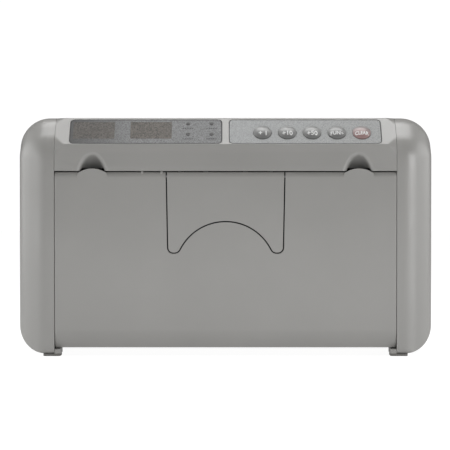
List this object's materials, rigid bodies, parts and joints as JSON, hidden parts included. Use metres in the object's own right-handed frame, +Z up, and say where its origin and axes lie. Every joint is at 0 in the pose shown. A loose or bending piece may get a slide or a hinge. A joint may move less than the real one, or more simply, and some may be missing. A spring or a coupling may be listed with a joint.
{
  "type": "banknote counting machine",
  "caption": "Desktop banknote counter with a lidded hopper, sloping control panel, fold-down front cover and a belt-driven note transport inside.",
  "frame": {"origin": "bottom centre of the bounding box, on the plane that the feet stand on", "axes": "+X to the right seen from the front, +Y from the front to the rear, +Z up"},
  "size_m": [0.3, 0.14, 0.172],
  "materials": {
    "case_plastic": "fine spark texture, warm light grey",
    "base_steel": "satin grey paint",
    "foot_rubber": "matte grey",
    "zinc_steel": "zinc plated, satin",
    "bright_steel": "ground, bright",
    "spring_steel": "drawn wire, satin",
    "inner_plastic": "fine texture, dark grey",
    "black_plastic": "satin black",
    "label_film": "satin silver film with fine sparkle",
    "smoked_window": "smoked grey-brown, satin",
    "indicator_lens": "pale lens",
    "grey_key": "satin silver grey",
    "red_key": "satin silver with a red tint",
    "circuit_board": "green solder mask",
    "bearing_brass": "sintered bronze",
    "roller_rubber": "ground matte",
    "wheel_plastic": "natural white, satin",
    "motor_metal": "black, satin",
    "belt_rubber": "matte black",
    "transformer_iron": "varnished laminations"
  },
  "bodies": {
    "frame": {"left_cheek": "case_plastic", "right_cheek": "case_plastic", "top_cover": "case_plastic", "rear_cover": "case_plastic", "base_plate": "base_steel", "rubber_feet": "foot_rubber", "case_screws": "zinc_steel", "hinge_pins": "bright_steel", "feed_tray": "inner_plastic", "display_plate": "label_film", "key_plate": "label_film", "display_windows": "smoked_window", "indicator_leds": "indicator_lens", "display_board": "circuit_board", "left_side_plate": "zinc_steel", "right_side_plate": "zinc_steel", "tie_rods": "zinc_steel", "bearings": "bearing_brass", "front_guide": "inner_plastic", "stacker_plate": "inner_plastic", "retard_bracket": "zinc_steel", "retard_rollers": "roller_rubber", "motor": "motor_metal", "motor_belt": "belt_rubber", "stacker_belt": "belt_rubber", "feed_belt": "belt_rubber", "pickup_belt": "belt_rubber", "sensors": "black_plastic", "main_board": "circuit_board", "power_supply": "transformer_iron", "power_inlet": "black_plastic"},
    "front_cover": {"front_cover": "case_plastic", "flap_hinge_pin": "bright_steel", "flap_springs": "spring_steel"},
    "stop_flap": {"stop_flap": "case_plastic"},
    "hopper_lid": {"hopper_lid": "case_plastic"},
    "left_guide": {"left_note_guide": "inner_plastic"},
    "right_guide": {"right_note_guide": "inner_plastic"},
    "knob": {"adjust_knob": "black_plastic"},
    "switch_rocker": {"power_switch": "black_plastic"},
    "motor_rotor": {"motor_pulley": "wheel_plastic"},
    "transport_rollers": {"transport_shaft": "bright_steel", "transport_tyres": "roller_rubber", "transport_pulleys": "wheel_plastic", "encoder_disc": "black_plastic"},
    "feed_rollers": {"feed_shaft": "bright_steel", "feed_tyres": "roller_rubber", "feed_pulley": "wheel_plastic"},
    "pickup_rollers": {"pickup_shaft": "bright_steel", "pickup_tyres": "roller_rubber", "pickup_pulley": "wheel_plastic"},
    "stacker": {"stacker_shaft": "bright_steel", "stacker_wheels": "wheel_plastic", "stacker_pulley": "wheel_plastic"},
    "pinch_rollers": {"pinch_rollers": "black_plastic"},
    "key_plus_1_cap": {"key_plus_1": "grey_key"},
    "key_plus_10_cap": {"key_plus_10": "grey_key"},
    "key_plus_50_cap": {"key_plus_50": "grey_key"},
    "key_function_cap": {"key_function": "grey_key"},
    "key_clear_cap": {"key_clear": "red_key"}
  },
  "joints": [
    {"name": "cover_fold", "type": "hinge", "parent": "frame", "child": "front_cover", "pos_m": [0, -0.0624, 0.0145], "axis": [1, 0, 0], "range_deg": [0, 90]},
    {"name": "flap_fold", "type": "hinge", "parent": "front_cover", "child": "stop_flap", "pos_m": [0, -0.065, 0.1294], "axis": [1, 0, 0], "range_deg": [0, 90]},
    {"name": "lid_open", "type": "hinge", "parent": "frame", "child": "hopper_lid", "pos_m": [0, 0.043, 0.169], "axis": [-1, 0, 0], "range_deg": [0, 105]},
    {"name": "left_guide_slide", "type": "slide", "parent": "frame", "child": "left_guide", "axis": [1, 0, 0], "range_m": [0, 0.025]},
    {"name": "right_guide_slide", "type": "slide", "parent": "frame", "child": "right_guide", "axis": [-1, 0, 0], "range_m": [0, 0.025]},
    {"name": "knob_turn", "type": "hinge", "parent": "frame", "child": "knob", "pos_m": [0, -0.024, 0.1697], "axis": [0, 0, 1], "range_deg": [-180, 180]},
    {"name": "switch_rock", "type": "hinge", "parent": "frame", "child": "switch_rocker", "pos_m": [-0.05, 0.0604, 0.045], "axis": [-1, 0, 0], "range_deg": [0, 20]},
    {"name": "transport_spin", "type": "hinge", "parent": "frame", "child": "transport_rollers", "pos_m": [0, -0.018, 0.076], "axis": [1, 0, 0], "continuous": true},
    {"name": "motor_spin", "type": "hinge", "parent": "frame", "child": "motor_rotor", "pos_m": [0.1, 0.038, 0.042], "axis": [1, 0, 0], "continuous": true},
    {"name": "feed_spin", "type": "hinge", "parent": "frame", "child": "feed_rollers", "pos_m": [0, -0.012, 0.103], "axis": [1, 0, 0], "continuous": true},
    {"name": "pickup_spin", "type": "hinge", "parent": "frame", "child": "pickup_rollers", "pos_m": [0, 0.0177, 0.122], "axis": [1, 0, 0], "continuous": true},
    {"name": "stacker_spin", "type": "hinge", "parent": "frame", "child": "stacker", "pos_m": [0, -0.024, 0.039], "axis": [1, 0, 0], "continuous": true},
    {"name": "pinch_spin", "type": "hinge", "parent": "frame", "child": "pinch_rollers", "pos_m": [0, -0.0346, 0.076], "axis": [1, 0, 0], "continuous": true},
    {"name": "key_plus_1_press", "type": "slide", "parent": "frame", "child": "key_plus_1_cap", "axis": [0, 0.7071, -0.7071], "range_m": [0, 0.0008], "stiffness_N_per_m": 800},
    {"name": "key_plus_10_press", "type": "slide", "parent": "frame", "child": "key_plus_10_cap", "axis": [0, 0.7071, -0.7071], "range_m": [0, 0.0008], "stiffness_N_per_m": 800},
    {"name": "key_plus_50_press", "type": "slide", "parent": "frame", "child": "key_plus_50_cap", "axis": [0, 0.7071, -0.7071], "range_m": [0, 0.0008], "stiffness_N_per_m": 800},
    {"name": "key_function_press", "type": "slide", "parent": "frame", "child": "key_function_cap", "axis": [0, 0.7071, -0.7071], "range_m": [0, 0.0008], "stiffness_N_per_m": 800},
    {"name": "key_clear_press", "type": "slide", "parent": "frame", "child": "key_clear_cap", "axis": [0, 0.7071, -0.7071], "range_m": [0, 0.0008], "stiffness_N_per_m": 800}
  ],
  "couplings": [
    {"joint": "flap_fold", "follows": "cover_fold", "ratio": 1},
    {"joint": "motor_spin", "follows": "transport_spin", "ratio": 1.6015},
    {"joint": "feed_spin", "follows": "transport_spin", "ratio": 0.6337},
    {"joint": "pickup_spin", "follows": "transport_spin", "ratio": 0.56803},
    {"joint": "stacker_spin", "follows": "transport_spin", "ratio": 0.68379},
    {"joint": "pinch_spin", "follows": "transport_spin", "ratio": -1.5385}
  ]
}
